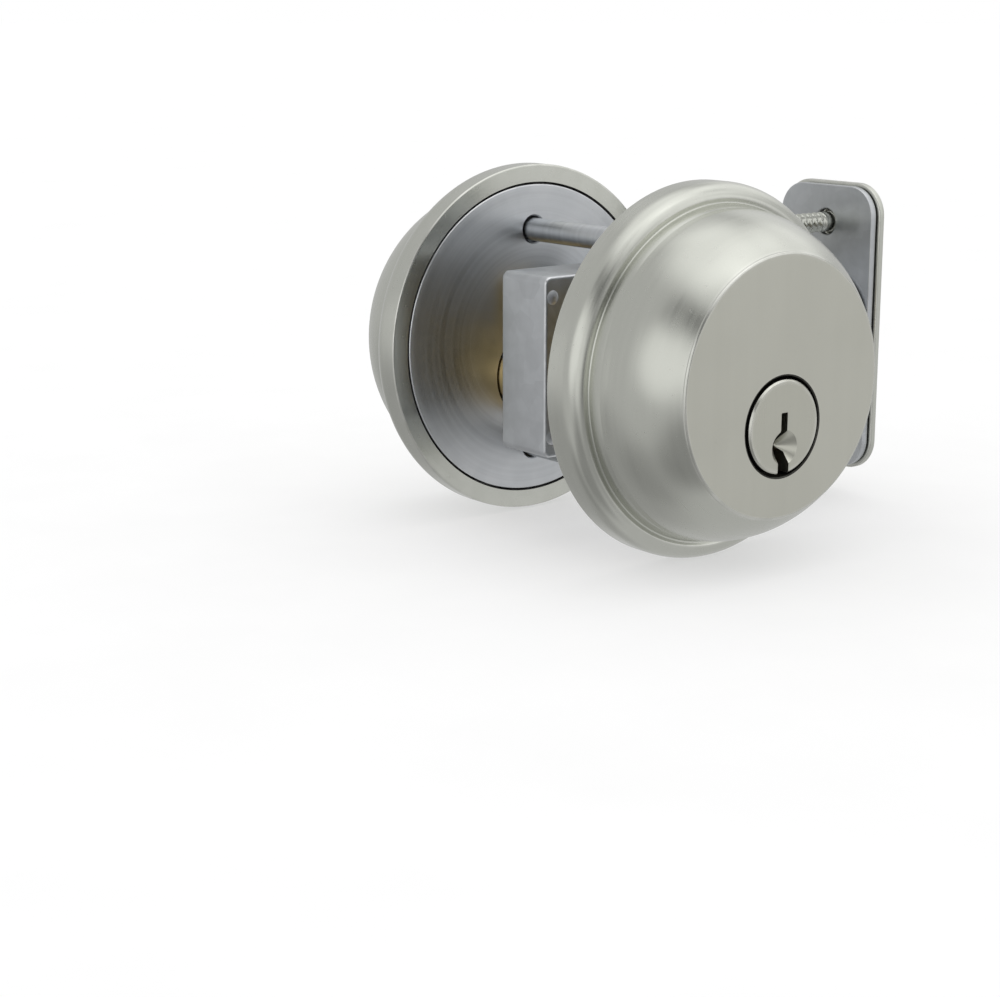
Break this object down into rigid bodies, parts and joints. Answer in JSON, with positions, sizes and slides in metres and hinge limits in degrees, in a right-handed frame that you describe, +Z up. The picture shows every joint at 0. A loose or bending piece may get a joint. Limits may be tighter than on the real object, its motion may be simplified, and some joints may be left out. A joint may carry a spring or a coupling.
{
  "type": "deadbolt door lock",
  "caption": "Double-cylinder deadbolt: a keyed satin-nickel bell rose on each side of the door, pin-tumbler plugs, crank hub, sliding bolt and edge faceplate.",
  "frame": {"origin": "centre of the door's cross bore, in the plane of the outer door face", "axes": "+X towards the door's edge, where the bolt is thrown; -Y out of the door on the street side; +Z up"},
  "size_m": [0.0933, 0.0905, 0.0666],
  "materials": {
    "satin_nickel": "satin nickel plate over cast zinc or steel, fine circular brushing",
    "brass": "turned brass",
    "nickel_silver": "turned nickel silver",
    "spring_steel": "bright hardened steel",
    "zinc_plate": "clear zinc-plated steel",
    "die_cast_zinc": "dull cast zinc"
  },
  "bodies": {
    "body": {"outside_housing": "satin_nickel", "outside_cylinder_body": "brass", "outside_chamber_cover": "brass", "outside_support_plate": "zinc_plate", "outside_driver_pin_1": "nickel_silver", "outside_pin_spring_1": "spring_steel", "outside_driver_pin_2": "nickel_silver", "outside_pin_spring_2": "spring_steel", "outside_driver_pin_3": "nickel_silver", "outside_pin_spring_3": "spring_steel", "outside_driver_pin_4": "nickel_silver", "outside_pin_spring_4": "spring_steel", "outside_driver_pin_5": "nickel_silver", "outside_pin_spring_5": "spring_steel", "inside_housing": "satin_nickel", "inside_cylinder_body": "brass", "inside_chamber_cover": "brass", "inside_support_plate": "zinc_plate", "inside_driver_pin_1": "nickel_silver", "inside_pin_spring_1": "spring_steel", "inside_driver_pin_2": "nickel_silver", "inside_pin_spring_2": "spring_steel", "inside_driver_pin_3": "nickel_silver", "inside_pin_spring_3": "spring_steel", "inside_driver_pin_4": "nickel_silver", "inside_pin_spring_4": "spring_steel", "inside_driver_pin_5": "nickel_silver", "inside_pin_spring_5": "spring_steel", "inside_set_screw": "spring_steel", "upper_through_bolt": "zinc_plate", "lower_through_bolt": "zinc_plate", "latch_case": "zinc_plate", "detent_spring": "spring_steel", "backing_plate": "zinc_plate", "faceplate": "satin_nickel", "upper_face_screw": "satin_nickel", "lower_face_screw": "satin_nickel"},
    "outside_plug": {"outside_plug": "satin_nickel", "outside_plug_cap": "brass", "outside_key_pin_1": "brass", "outside_key_pin_2": "brass", "outside_key_pin_3": "brass", "outside_key_pin_4": "brass", "outside_key_pin_5": "brass"},
    "inside_plug": {"inside_plug": "satin_nickel", "inside_plug_cap": "brass", "inside_key_pin_1": "brass", "inside_key_pin_2": "brass", "inside_key_pin_3": "brass", "inside_key_pin_4": "brass", "inside_key_pin_5": "brass"},
    "hub": {"outside_tailpiece": "zinc_plate", "inside_tailpiece": "zinc_plate", "crank_hub": "die_cast_zinc", "crank_pin": "spring_steel"},
    "bolt": {"bolt": "satin_nickel", "bolt_armour_pin": "spring_steel"}
  },
  "joints": [
    {"name": "outside_plug_turn", "type": "hinge", "parent": "body", "child": "outside_plug", "pos_m": [0, -0.0226, -0.0068], "axis": [0, 1, 0], "range_deg": [0, 90]},
    {"name": "inside_plug_turn", "type": "hinge", "parent": "body", "child": "inside_plug", "pos_m": [0, 0.0671, -0.0068], "axis": [0, 1, 0], "range_deg": [0, 90]},
    {"name": "hub_turn", "type": "hinge", "parent": "body", "child": "hub", "pos_m": [0, 0.02225, -0.0068], "axis": [0, 1, 0], "range_deg": [0, 90]},
    {"name": "bolt_throw", "type": "slide", "parent": "body", "child": "bolt", "axis": [1, 0, 0], "range_m": [0, 0.0254]}
  ],
  "couplings": [
    {"joint": "outside_plug_turn", "follows": "bolt_throw", "rad_per_m": 61.842},
    {"joint": "hub_turn", "follows": "bolt_throw", "rad_per_m": 61.842}
  ]
}
